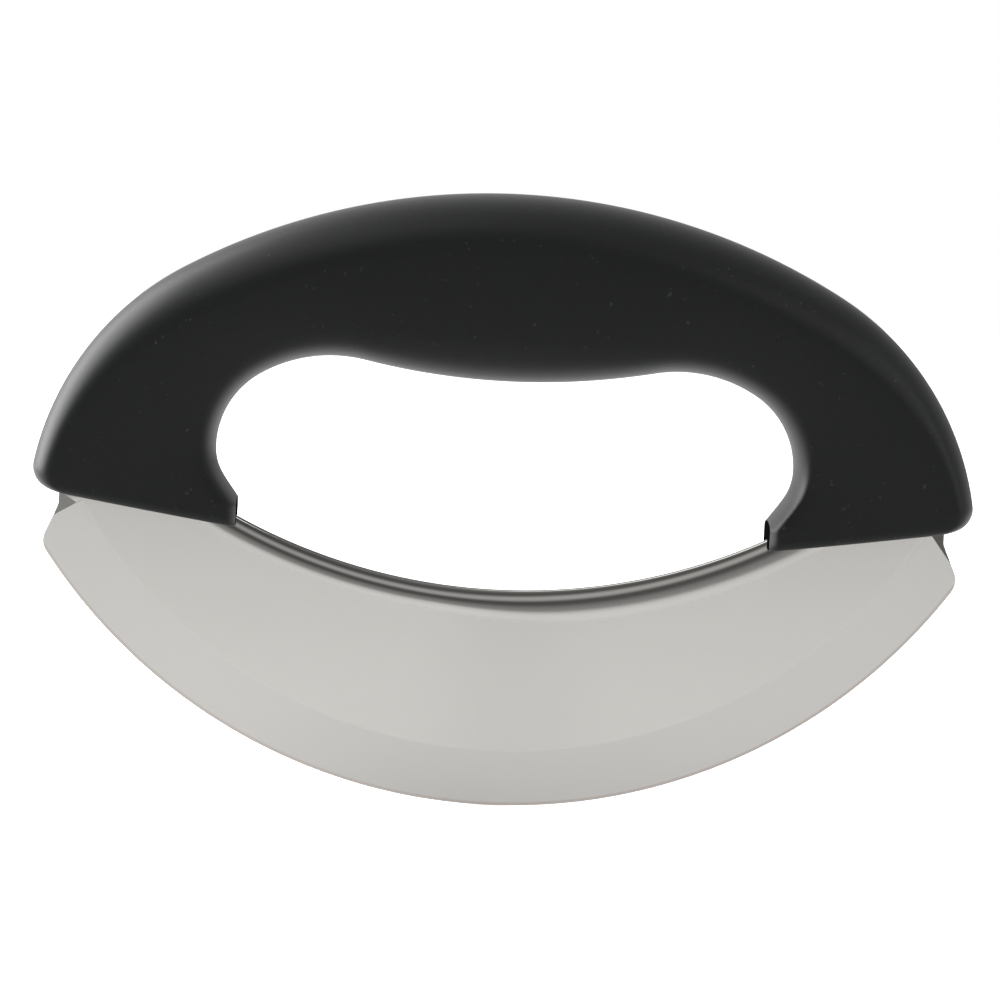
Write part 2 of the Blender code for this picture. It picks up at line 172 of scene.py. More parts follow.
BAND_REACH = 0.0240
BAND_TONE = 0.050
RUBBER_COLOUR = (0.0060, 0.0065, 0.0064, 1.0)
RUBBER_ROUGHNESS = 0.42
RUBBER_GLOSS = 0.11
RUBBER_SHEEN = 0.06
SHEEN_ROUGHNESS = 0.5
RUBBER_TONE = 0.85
GRAIN = (2600.0, 2.0, 0.6)
GRAIN_RELIEF = (0.00003, 0.3)
GRAIN_TONE = 0.3
SPECK_COLOUR = (0.1, 0.1, 0.1, 1.0)
SPECKS = (900.0, 1.0, 0.5)
SPECK_FROM = 0.72
SPECK_FULL = 0.8
SPECK_TONE = 0.15
# Painted shade on the feet's facets: a darker, dull copy of the rubber
FACET_SHADE_COLOUR = (0.003, 0.003, 0.003, 1.0)
CUT_ROUGHNESS = 0.95
FACET_SHADE_TONE = 0.7
CUT_GRAIN = (1500.0, 3.0, 0.6)
CUT_GRAIN_RELIEF = (0.00006, 0.4)
CUT_GRAIN_TONE = 0.6
PLASTIC_COLOUR = (0.03, 0.03, 0.032, 1.0)
PLASTIC_ROUGHNESS = 0.36
SWIRL = (300.0, 3.0, 0.5)
SWIRL_RELIEF = (0.00004, 0.2)
SWIRL_ROUGHNESS = 0.14

# View
CAMERA_DISTANCE = 0.900
CAMERA_ELEVATION = 6.0
CAMERA_AZIMUTH = -1.63
CAMERA_ROLL = 2.86
CAMERA_TARGET = (-0.00064, 0.0, 0.06002)
METRES_PER_PIXEL = 0.0001943
IMAGE_PIXELS = 1000
SENSOR_WIDTH = 36.0

# Floor: its own colour, and how bright it is to the camera and in gloss, near the knife and far from it
FLOOR_SIZE = 3.0
FLOOR_COLOUR = (0.8, 0.8, 0.8, 1.0)
FLOOR_ROUGHNESS = 0.9
FLOOR_LIFT = 0.5
FLOOR_SHADE = (0.3, 0.3, 0.3, 1.0)
FLOOR_GLOW = 0.95
FLOOR_GLOW_FAR = 0.35
FLOOR_LIT = 0.45

# Studio: its ambient light, and in gloss stops of (degrees, level) over the top and of (X, level) across
WHITE = (1.0, 1.0, 1.0, 1.0)
AMBIENT = 0.75
GLOSS_OVER = [
    (0.0, 0.50),
    (2.5, 0.36),
    (4.0, 0.19),
    (6.0, 0.13),
    (8.0, 0.15),
    (11.0, 0.75),
    (15.0, 0.82),
    (18.0, 0.50),
    (23.0, 0.18),
    (29.0, 0.17),
    (44.0, 0.36),
    (63.0, 0.60),
    (95.0, 0.85),
    (110.0, 1.0),
]
GLOSS_ACROSS = [(-1.0, 1.0), (0.0, 1.0), (0.4, 0.5), (1.0, 0.35)]

# Soft panels: azimuth (0 at the viewer, 90 at the right), elevation, distance, width, height and watts
LAMP_TARGET = (0.0, 0.0, 0.06)
PANELS = {
    "window": (-114.0, 22.0, 1.0, 0.9, 1.1, 30.0),
    "strip": (77.0, 20.0, 1.2, 0.15, 0.9, 3.0),
    "skylight": (-50.0, 62.0, 1.2, 1.0, 0.8, 4.0),
    "fill": (45.0, 32.0, 1.2, 0.7, 0.6, 3.4),
}

# Places worked out from the sizes; the sides are left and right, or front and back
SIDES = (-1.0, 1.0)
EDGE_RADIUS = TIP_RADIUS + (BLADE_LENGTH / 2 - TIP_RADIUS) / math.sin(math.radians(EDGE_HALF_ANGLE))
EDGE_CENTRE = np.array([0.0, EDGE_RADIUS])
SPINE_CENTRE = np.array([0.0, BLADE_DEPTH + SPINE_RADIUS])
BELLY_HEIGHT = BLADE_DEPTH + FINGER_ROOM
CROWN_HEIGHT = BELLY_HEIGHT + GRIP_DEPTH
FOOT_INNER = BLADE_LENGTH / 2 - FOOT_LENGTH


# Outlines in the XZ plane, right half


def direction(heading):
    """Unit vectors in the XZ plane, their headings in degrees turned up from +X."""
    turned = np.radians(heading)
    return np.stack([np.cos(turned), np.sin(turned)], axis=-1)


def walk(start, heading, legs):
    """Fine points along straight runs (length, 0) and arcs (radius, degrees), each tangent to the last."""
    point = np.array(start, dtype=float)
    runs = [point[None]]
    for size, turn in legs:
        if turn == 0:
            steps = math.ceil(size / PATH_STEP)
            run = point + np.linspace(0.0, size, steps + 1)[1:, None] * direction(heading)
        else:
            side = math.copysign(90.0, turn)
            centre = point + size * direction(heading + side)
            steps = math.ceil(size * math.radians(abs(turn)) / PATH_STEP)
            run = centre - size * direction(heading + side + turn * np.arange(1, steps + 1) / steps)
            heading += turn
        runs.append(run)
        point = run[-1]
    return np.concatenate(runs)


def swept_run(start, heading, end, end_heading, pull):
    """A cubic curve between two points and headings; its handles are a share of the distance long."""
    distance = float(np.linalg.norm(end - start))
    leaving = start + pull * distance * direction(heading)
    arriving = end - pull * distance * direction(end_heading)
    t = np.linspace(0.0, 1.0, math.ceil(distance / PATH_STEP) + 1)[1:, None]
    near = (1 - t) ** 3 * start + 3 * t * (1 - t) ** 2 * leaving
    return near + 3 * t**2 * (1 - t) * arriving + t**3 * end


def travel(path):
    """Distance travelled along a path at each of its points."""
    return np.concatenate([[0.0], np.cumsum(np.linalg.norm(np.diff(path, axis=0), axis=1))])


def along(path, shares):
    """Points at the given shares of a path's length."""
    travelled = travel(path)
    places = np.asarray(shares) * travelled[-1]
    return np.stack([np.interp(places, travelled, path[:, axis]) for axis in (0, 1)], axis=-1)


def spine_height(x):
    """Height of the spine's arc at a distance from the middle."""
    return SPINE_CENTRE[1] - np.sqrt(SPINE_RADIUS**2 - np.square(x))


def neck_path():
    """Round the tip of the blade, in along a slope and up into the neck."""
    start = EDGE_CENTRE + EDGE_RADIUS * direction(EDGE_HALF_ANGLE - 90.0)
    tip_turn = 90.0 + NECK_LEAN - EDGE_HALF_ANGLE
    return walk(start, EDGE_HALF_ANGLE, [(TIP_RADIUS, tip_turn), (NECK_RUN, 0), (NECK_RADIUS, -NECK_LEAN)])


# The right foot of the grip ends in a plane that rises from the spine to a point up the neck
NECK = neck_path()
TIP_CENTRE = EDGE_CENTRE + (EDGE_RADIUS - TIP_RADIUS) * direction(EDGE_HALF_ANGLE - 90.0)
TIP_END = TIP_CENTRE + TIP_RADIUS * direction(NECK_LEAN)
FOOT_START = np.array([FOOT_INNER, spine_height(FOOT_INNER) - FOOT_LAP])
FOOT_END = NECK[-1] + np.array([0.0, NECK_SHOWN])
FOOT_RISE = math.degrees(math.atan2(*(FOOT_END - FOOT_START)[::-1]))
FOOT_UP = direction(FOOT_RISE + 90.0)
FACET_TOP = FOOT_START + np.array([FACET_SETBACK, FOOT_FACET])


def inner_path(nose):
    """Round the finger opening: belly, crest and lobe arcs, and a waist that leans in.

    It ends in an upright facet, or in a nose that first runs on along the waist, past the facet, and then
    turns upright too.
    """
    over = FOOT_INNER + LOBE_UNDERCUT - LOBE_RADIUS
    shift = (CREST_RADIUS - LOBE_RADIUS) * direction(CREST_TURN)
    across = BELLY_RADIUS + CREST_RADIUS - shift[0]
    belly_turn = math.degrees(math.asin(over / math.hypot(across, shift[1])) - math.atan2(shift[1], across))
    legs = [
        (BELLY_RADIUS, belly_turn),
        (CREST_RADIUS, -CREST_TURN),
        (LOBE_RADIUS, -(90.0 + belly_turn - CREST_TURN)),
    ]
    arcs = walk((0.0, BELLY_HEIGHT), 0.0, legs)
    leaning = -90.0 - WAIST_LEAN
    waist = swept_run(arcs[-1], -90.0, FACET_TOP, leaning, WAIST_PULL)
    if nose:
        turned = walk(FACET_TOP, leaning, [(NOSE_RUN, 0), (NOSE_RADIUS, WAIST_LEAN)])
        drop = float(np.dot(FOOT_START - turned[-1], FOOT_UP) / np.dot(direction(-90.0), FOOT_UP))
        ending = np.concatenate([turned, walk(turned[-1], -90.0, [(drop, 0)])[1:]])
    else:
        ending = walk(FACET_TOP, -90.0, [(FOOT_FACET, 0)])
    return np.concatenate([arcs, waist, ending[1:]])


def outer_path():
    """Over the back of the grip: crown arc, tighter shoulder arc, and a corner that runs into the foot."""
    over = BLADE_LENGTH / 2 + SHOULDER_REACH - SHOULDER_RADIUS
    crown_turn = math.degrees(math.asin(over / (CROWN_RADIUS - SHOULDER_RADIUS)))
    crown_end = np.array([0.0, CROWN_HEIGHT - CROWN_RADIUS]) + CROWN_RADIUS * direction(90.0 - crown_turn)
    centre = crown_end - SHOULDER_RADIUS * direction(90.0 - crown_turn)
    corner_up = FOOT_CORNER - float(np.dot(centre - FOOT_START, FOOT_UP))
    corner_along = math.sqrt((SHOULDER_RADIUS - FOOT_CORNER) ** 2 - corner_up**2)
    leaves_at = math.degrees(math.atan2(corner_up, corner_along)) + FOOT_RISE
    legs = [
        (CROWN_RADIUS, -crown_turn),
        (SHOULDER_RADIUS, -(90.0 - crown_turn - leaves_at)),
        (FOOT_CORNER, -(90.0 + leaves_at - FOOT_RISE)),
    ]
    return walk((0.0, CROWN_HEIGHT), 0.0, legs)


INNER = inner_path(nose=False)
NOSE = inner_path(nose=True)
OUTER = outer_path()
INNER_LENGTH = travel(INNER)[-1]


def rungs(shares, inset=0.0):
    """Both ends of lines across the grip, at shares of the way from its middle to the foot.

    On the outside of the skin, where nothing is inset, they end on the nose.
    """
    inner = along(INNER if inset else NOSE, shares)
    outer = along(OUTER, shares)
    across = (inner - outer) / np.linalg.norm(inner - outer, axis=-1, keepdims=True)
    return outer + inset * across, inner - inset * across


def share_at(rise):
    """Share of the way down the leg that lies a given length above its foot."""
    return 1.0 - rise / INNER_LENGTH


def blend(start, end, share):
    """Runs smoothly from start to end as share goes from 0 to 1."""
    share = np.clip(share, 0.0, 1.0)
    return start + (end - start) * share * share * (3.0 - 2.0 * share)


def both_halves(right, flip):
    """Rows of the right half with their mirror image before them; they share the middle row."""
    return np.concatenate([(right * flip)[:0:-1], right])


# Meshes


def surface(name, points, faces):
    """A mesh object from arrays: corners that coincide become one, slivers go, and faces turn outward."""
    mesh = bpy.data.meshes.new(name)
    mesh.from_pydata(points.reshape(-1, 3), [], faces)
    bm = bmesh.new()
    bm.from_mesh(mesh)
    bmesh.ops.remove_doubles(bm, verts=bm.verts, dist=WELD)
    bmesh.ops.dissolve_degenerate(bm, edges=bm.edges, dist=SLIVER)
    bmesh.ops.recalc_face_normals(bm, faces=bm.faces)
    bm.to_mesh(mesh)
    bm.free()
    item = bpy.data.objects.new(name, mesh)
    bpy.context.scene.collection.objects.link(item)
    return item


def woven_faces(rows, columns, close_rows=False):
    """Quads between neighbouring rows of points, each row a closed loop; the last row may meet the first."""
    row = np.arange(rows if close_rows else rows - 1)[:, None]
    column = np.arange(columns)[None, :]
    onward = (row + 1) % rows
    beside = (column + 1) % columns
    corners = [
        row * columns + column,
        row * columns + beside,
        onward * columns + beside,
        onward * columns + column,
    ]
    return np.stack(corners, axis=-1).reshape(-1, 4).tolist()


def prism(name, outline, near, far):
    """A closed outline in the XZ plane, carried along Y between two distances at each of its points."""
    count = len(outline)
    front = np.stack([outline[:, 0], near, outline[:, 1]], axis=-1)
    back = np.stack([outline[:, 0], far, outline[:, 1]], axis=-1)
    around = np.arange(count)
    onward = (around + 1) % count
    walls = np.stack([around, onward, onward + count, around + count], axis=-1)
    faces = [around.tolist(), (around[::-1] + count).tolist()] + walls.tolist()
    return surface(name, np.concatenate([front, back]), faces)


def plate(name, outline, thickness):
    """A closed outline in the XZ plane, as a flat plate as thick as given, midway on Y = 0."""
    away = np.full(len(outline), thickness / 2)
    return prism(name, outline, -away, away)


def cut_away(item, cutters):
    """Cuts the cutters out of an item for good, and removes them and the slivers that the cuts leave.

    Faces that the cuts leave with more than four corners are split into triangles first.
    """
    for cutter in cutters:
        cut = item.modifiers.new(cutter.name, "BOOLEAN")
        cut.operation = "DIFFERENCE"
        cut.solver = "EXACT"
        cut.object = cutter
    graph = bpy.context.evaluated_depsgraph_get()
    finished = bpy.data.meshes.new_from_object(item.evaluated_get(graph))
    item.modifiers.clear()
    item.data = finished
    bm = bmesh.new()
    bm.from_mesh(finished)
    bmesh.ops.triangulate(bm, faces=[face for face in bm.faces if len(face.verts) > 4])
    bmesh.ops.remove_doubles(bm, verts=bm.verts, dist=SLIVER)
    bmesh.ops.dissolve_degenerate(bm, edges=bm.edges, dist=SLIVER)
    bm.to_mesh(finished)
    bm.free()
    for cutter in cutters:
        bpy.data.objects.remove(cutter)


def smooth(item, sharp_angle):
    """Shades an item smooth, but for the edges that turn by more than an angle in degrees."""
    item.data.shade_smooth()
    item.data.set_sharp_from_angle(angle=math.radians(sharp_angle))


# Blade


def tang_paths():
    """Up the outer and the inner side of the right tang, each round its corner to the middle of the top."""
    shares = np.linspace(share_at(TANG_ROOT), share_at(TANG_LENGTH), TANG_STATIONS)
    outer, inner = rungs(shares, TANG_COVER)
    middle = (outer[-1] + inner[-1]) / 2
    sides = []
    for side in (outer, inner):
        top = side[-1]
        below = (side[-2] - top) / np.linalg.norm(side[-2] - top)
        beside = (middle - top) / np.linalg.norm(middle - top)
        half = math.acos(float(np.dot(below, beside))) / 2
        centre = top + (below + beside) / np.linalg.norm(below + beside) * TANG_CORNER / math.sin(half)
        leaves = top + below * TANG_CORNER / math.tan(half) - centre
        arrives = top + beside * TANG_CORNER / math.tan(half) - centre
        turn = math.atan2(leaves[0] * arrives[1] - leaves[1] * arrives[0], float(np.dot(leaves, arrives)))
        start = math.degrees(math.atan2(leaves[1], leaves[0]))
        headings = start + math.degrees(turn) * np.linspace(0.0, 1.0, TANG_CORNER_STEPS)
        arc = centre + TANG_CORNER * direction(headings)
        sides.append(np.concatenate([side[:-1], arc, middle[None]]))
    return sides


def blade_ladder():
    """Lower and upper ends of the lines that cross the right half of the blade, from its middle outward.

    The lower ends run along the edge, round the tip and up the neck and the tang. The upper ends run along
    the spine and up the inner side of the tang, and both meet in the middle of the tang's top.
    """
    tang_outer, tang_inner = tang_paths()
    fractions = np.linspace(0.0, 1.0, EDGE_COLUMNS + 1)
    edge = EDGE_CENTRE + EDGE_RADIUS * direction(EDGE_HALF_ANGLE * fractions - 90.0)
    reach = math.degrees(math.asin((FOOT_INNER + SPINE_RUNS_ON) / SPINE_RADIUS))
    spine = SPINE_CENTRE + SPINE_RADIUS * direction(reach * fractions - 90.0)
    neck = np.concatenate([NECK, (FOOT_END + np.array([0.0, NECK_SEAT]))[None]])
    neck = along(neck, np.linspace(0.0, 1.0, NECK_COLUMNS + 1)[1:])
    root = along(np.stack([spine[-1], tang_inner[0]]), np.linspace(0.0, 1.0, NECK_COLUMNS + 1)[1:])
    rising = np.linspace(0.0, 1.0, TANG_COLUMNS + 1)[1:]
    outside = along(np.concatenate([neck[-1:], tang_outer]), rising)
    inside = along(tang_inner, rising)
    return np.concatenate([edge, neck, outside]), np.concatenate([spine, root, inside])


def crossings(lower, upper, centre, radii):
    """Share of each line at which it first enters circles of the given radii, or 1 where it never does."""
    line = upper - lower
    away = lower - centre
    square = np.sum(line * line, axis=-1)[:, None]
    slant = np.sum(line * away, axis=-1)[:, None]
    beyond = np.sum(away * away, axis=-1)[:, None] - np.square(radii)[None, :]
    inside = slant**2 - square * beyond
    share = (-slant - np.sqrt(np.maximum(inside, 0.0))) / np.maximum(square, 1e-12)
    return np.where((inside > 0) & (slant < 0), np.clip(share, 0.0, 1.0), 1.0)


def ground_half(x, z):
    """Half thickness that the grind leaves: straight up to the honed line, then straight to the plate."""
    depth = EDGE_RADIUS - np.hypot(x - EDGE_CENTRE[0], z - EDGE_CENTRE[1])
    heights = [0.0, HONED_HEIGHT, GRIND_HEIGHT]
    return np.interp(depth, heights, [EDGE_FLAT / 2, HONED_THICKNESS / 2, BLADE_THICKNESS / 2])


def ease_height(x):
    """Height of the spine's ease: ground by hand, it is lower on the left half and higher on the right."""
    share = (x + SPINE_EASE_SHIFT) / (2 * SPINE_EASE_SHIFT)
    return SPINE_EASE_HEIGHT + SPINE_EASE_UNEVEN * blend(-1.0, 1.0, share)


def half_thickness(x, z):
    """Half the blade's thickness at points of its face.

    It is the lesser of the grind and the spine's ease, a quarter of an ellipse that rises from the land
    to the plate.
    """
    plate_half = BLADE_THICKNESS / 2
    below = np.hypot(x - SPINE_CENTRE[0], z - SPINE_CENTRE[1]) - SPINE_RADIUS
    rise = np.clip(below / ease_height(x), 0.0, 1.0)
    land = SPINE_LAND / 2
    eased = land + (plate_half - land) * np.sqrt(1.0 - (1.0 - rise) ** 2)
    hidden = blend(0.0, 1.0, (np.abs(x) - FOOT_INNER - EASE_RUNS_ON) / SKIN_WALL)
    return np.minimum(ground_half(x, z), eased + (plate_half - eased) * hidden)


def face_shares(lower, upper):
    """Shares of each line of the ladder at which the rows of the face cross it, from the edge to the spine.

    Rows follow the grind and the spine's ease exactly, as circles about the centres of edge and spine, and
    crowd at the border, at the honed line and at the top of the grind.
    """
    depths = np.concatenate(
        [
            [0.0, 0.5 * BORDER_ROUND, BORDER_ROUND, 0.9 * HONED_HEIGHT, HONED_HEIGHT, 1.1 * HONED_HEIGHT],
            np.linspace(2 * HONED_HEIGHT, GRIND_HEIGHT - CREASE_STEP, GRIND_ROWS),
            [GRIND_HEIGHT, GRIND_HEIGHT + CREASE_STEP],
        ]
    )
    near_edge = crossings(lower, upper, EDGE_CENTRE, EDGE_RADIUS - depths)
    eases = (SPINE_EASE_HEIGHT + SPINE_EASE_UNEVEN) * np.linspace(1.0, 0.0, EASE_ROWS) ** EASE_CROWDING
    near_spine = crossings(lower, upper, SPINE_CENTRE, SPINE_RADIUS + eases)
    length = np.linalg.norm(upper - lower, axis=-1)[:, None]
    least = np.clip(depths[None, :] / np.maximum(length, 1e-9), 0.0, 1.0)
    start = np.where(near_edge < 1.0, np.maximum(near_edge, least), least)
    start = np.minimum(start, near_spine[:, :1])
    flat_rows = np.linspace(0.0, 1.0, FLAT_ROWS)[None, 1:-1]
    middle = start[:, -1:] + (near_spine[:, :1] - start[:, -1:]) * flat_rows
    shares = np.concatenate([start, middle, near_spine, np.ones_like(length)], axis=1)
    return np.maximum.accumulate(shares, axis=1)


def make_blade():
    """Blade, as loops round its section, one at each line of the ladder, joined from tip to tip.

    Along its border each face draws in as a quarter circle.
    """
    lower, upper = blade_ladder()
    shares = face_shares(lower, upper)
    length = np.linalg.norm(upper - lower, axis=-1)[:, None]
    face = both_halves(lower[:, None] + shares[..., None] * (upper - lower)[:, None], (-1.0, 1.0))
    border = np.clip(1.0 - both_halves(shares * length / BORDER_ROUND, 1.0), 0.0, 1.0)
    half = half_thickness(face[..., 0], face[..., 1])
    half = half - np.minimum(BORDER_ROUND, half / 2) * (1.0 - np.sqrt(1.0 - border**2))
    front = np.stack([face[..., 0], -half, face[..., 1]], axis=-1)
    back = (front * (1.0, -1.0, 1.0))[:, ::-1]
    loops = np.concatenate([front, back], axis=1)
    blade = surface("satin_blade", loops, woven_faces(*loops.shape[:2]))
    holes = [anchor_hole(side, place) for side in SIDES for place in range(2)]
    files = [neck_file(side, face) for side in SIDES for face in SIDES]
    cut_away(blade, holes + files)
    smooth(blade, BLADE_SHARP_ANGLE)
    crisp_flats(blade)
    return blade


def neck_line(side):
    """Start and end of the line across one neck, as on the right half, at which its filed flat begins."""
    width, drop, share, _ = NECK_FLATS[side]
    start = FOOT_END - width * direction(FOOT_RISE) - drop * FOOT_UP
    end = TIP_END + share * NECK_RUN * direction(90.0 + NECK_LEAN)
    line = (end - start) / np.linalg.norm(end - start)
    return start, end, line, np.array([-line[1], line[0]])


def neck_file(side, face):
    """Cutter that files a flat on one face of one neck, from the foot down to a line across the neck.

    The flat's plane holds that line and falls away from it at a steady angle towards the foot.
    """
    start, end, line, outward = neck_line(side)
    foot = direction(FOOT_RISE)
    sink = (ground_half(*end) - ground_half(*start)) / np.linalg.norm(end - start)
    give = NECK_GIVE * outward
    corners = np.stack(
        [
            FOOT_END + SEAT * FOOT_UP - (NECK_FLATS[side][0] + NECK_GIVE) * foot,
            start - give,
            end + NECK_SEAT * line - give,
            end + NECK_SEAT * (line + outward),
            FOOT_END + NECK_SEAT * foot + SEAT * FOOT_UP,
        ]
    )
    away = corners - start
    fall = math.tan(math.radians(NECK_FLATS[side][3]))
    filed = ground_half(*start) + away @ line * sink - away @ outward * fall
    beyond = np.full(len(corners), BLADE_THICKNESS)
    return prism("neck_file", corners * (side, 1.0), face * filed, face * beyond)


def crisp_flats(blade):
    """Marks the lines at which the filed flats begin as sharp, because they lean too little to be found."""
    mesh = blade.data
    corners = np.empty(3 * len(mesh.vertices), dtype=np.float32)
    mesh.vertices.foreach_get("co", corners)
    corners = corners.reshape(-1, 3)
    ends = np.empty(2 * len(mesh.edges), dtype=np.int32)
    mesh.edges.foreach_get("vertices", ends)
    ends = ends.reshape(-1, 2)
    sharp = np.empty(len(mesh.edges), dtype=bool)
    mesh.attributes["sharp_edge"].data.foreach_get("value", sharp)
    for side in SIDES:
        start, _, line, outward = neck_line(side)
        away = corners[:, [0, 2]] * (side, 1.0) - start
        on_line = (np.abs(away @ outward) < 2 * WELD) & (away @ line > -WELD)
        sharp |= on_line[ends[:, 0]] & on_line[ends[:, 1]]
    mesh.attributes["sharp_edge"].data.foreach_set("value", sharp)


def anchor_hole(side, place):
    """Cutter for one of the two holes in one of the tangs."""
    centre = rungs(share_at(ANCHOR_RISE), TANG_COVER + ANCHOR_MARGIN + ANCHOR_RADIUS)[place]
    circle = centre + ANCHOR_RADIUS * direction(np.arange(HOLE_STEPS) * 360.0 / HOLE_STEPS)
    return plate("anchor_hole", circle * (side, 1.0), 2 * BLADE_THICKNESS)


def blade_border(grow):
    """Outline of the whole blade; each point moves out, square to the mean of the runs beside it."""
    lower, upper = blade_ladder()
    half = np.concatenate([lower[::SLOT_STRIDE], upper[::-SLOT_STRIDE]])
    outline = np.concatenate([half, half[::-1] * (-1.0, 1.0)])
    kept = np.linalg.norm(outline - np.roll(outline, 1, axis=0), axis=1) > PATH_STEP
    outline = outline[kept]
    after = np.roll(outline, -1, axis=0) - outline
    after /= np.linalg.norm(after, axis=1)[:, None]
    ahead = after + np.roll(after, 1, axis=0)
    ahead /= np.linalg.norm(ahead, axis=1)[:, None]
    return outline + grow * np.stack([ahead[:, 1], -ahead[:, 0]], axis=-1)


# Grip


def grip_loops(shares, inset):
    """Closed loops round the grip at shares of the way from its middle to the right foot.

    Each corner is a quarter of an ellipse, from the parting line at Y = 0 to the broad face, which swells
    towards the middle as a parabola. Near the plane of the foot the loop draws in along a quarter circle.
    """
    outer, inner = rungs(shares, inset)
    width = np.linalg.norm(inner - outer, axis=-1)[:, None]
    rise = ((1.0 - shares) * INNER_LENGTH)[:, None]
    outer_round = np.maximum(blend(OUTER_ROUND_FOOT, OUTER_ROUND, rise / ROUND_REACH) - inset, LEAST_ROUND)
    inner_round = blend(INNER_ROUND_FOOT, INNER_ROUND, rise / INNER_ROUND_REACH)
    inner_round = np.maximum(inner_round - inset, LEAST_ROUND)
    half = blend(FOOT_THICKNESS, GRIP_THICKNESS, rise / THICKNESS_REACH) / 2 - inset
    quarter = np.radians(np.linspace(0.0, 90.0, CORNER_STEPS + 1))[None, :]
    across_face = np.linspace(0.0, 1.0, FACE_STEPS + 1)[None, 1:-1]
    places = np.concatenate(
        [
            outer_round * (1.0 - np.cos(quarter)),
            outer_round + across_face * (width - inner_round - outer_round),
            width - inner_round * (1.0 - np.cos(quarter[:, ::-1])),
        ],
        axis=1,
    )
    rounding = np.concatenate([np.sin(quarter), np.ones_like(across_face), np.sin(quarter[:, ::-1])], axis=1)
    heights = rounding * (half - FACE_CROWN * (2.0 * places / width - 1.0) ** 2)
    points = outer[:, None] + (places / width)[..., None] * (inner - outer)[:, None]
    up = np.clip((points - FOOT_START) @ FOOT_UP, 0.0, FOOT_EDGE)
    drawn = FOOT_EDGE - np.sqrt(FOOT_EDGE**2 - (FOOT_EDGE - up) ** 2)
    heights = heights * (1.0 - drawn / half)
    front = np.stack([points[..., 0], heights, points[..., 1]], axis=-1)
    back = (front * (1.0, -1.0, 1.0))[:, -2:0:-1]
    return np.concatenate([front, back], axis=1)


def nose_cut(side):
    """Cutter that takes the nose off one foot, along the upright plane of its facet."""
    low, high = FOOT_START[1] - FOOT_FACET, FACET_TOP[1]
    near, far = FACET_TOP[0] - 2 * FOOT_FACET, FACET_TOP[0]
    corners = np.array([(near, low), (far, low), (far, high), (near, high)])
    return plate("nose_cut", corners * (side, 1.0), 2 * GRIP_THICKNESS)


def mark_facets(grip):
    """Gives the second finish, painted shade, to the upright facets of the feet, by the places of their
    faces.
    """
    faces = grip.data.polygons
    centres = np.empty(3 * len(faces), dtype=np.float32)
    faces.foreach_get("center", centres)
    centres = centres.reshape(-1, 3)
    cut = (np.abs(np.abs(centres[:, 0]) - FACET_TOP[0]) < WELD) & (centres[:, 2] < FACET_TOP[1])
    faces.foreach_set("material_index", cut.astype(np.int32))


def make_grip():
    """Skin of the grip: loops over its outside from foot to foot, and back again round the core inside."""
    shares = 1.0 - (1.0 - np.linspace(0.0, 1.0, RUNGS + 1)) ** RUNG_CROWDING
    insets = (0.0, SKIN_WALL - SNUG)
    outside, inside = (both_halves(grip_loops(shares, inset), (-1.0, 1.0, 1.0)) for inset in insets)
    loops = np.concatenate([outside, inside[::-1]])
    grip = surface("soft_grip", loops, woven_faces(*loops.shape[:2], close_rows=True))
    slot = plate("blade_slot", blade_border(SNUG), BLADE_THICKNESS + 2 * SNUG)
    cut_away(grip, [slot] + [nose_cut(side) for side in SIDES])
    smooth(grip, GRIP_SHARP_ANGLE)
    return grip


# Nodes


class Signal:
    """A socket of a node tree. Python's operators on it add Math nodes to the tree."""

    def __init__(self, nodes, socket):
        self.nodes = nodes
        self.socket = socket

    def __add__(self, other):
        return self.nodes.maths("ADD", self, other)

    __radd__ = __add__

    def __sub__(self, other):
        return self.nodes.maths("SUBTRACT", self, other)

    def __rsub__(self, other):
        return self.nodes.maths("SUBTRACT", other, self)

    def __mul__(self, other):
        return self.nodes.maths("MULTIPLY", self, other)

    __rmul__ = __mul__

    def between(self, low, high):
        """0 at low and 1 at high, clamped, and straight between them."""
        values = {0: self, 1: low, 2: high, 3: 0.0, 4: 1.0}
        return self.nodes.node("ShaderNodeMapRange", {"clamp": True}, values)


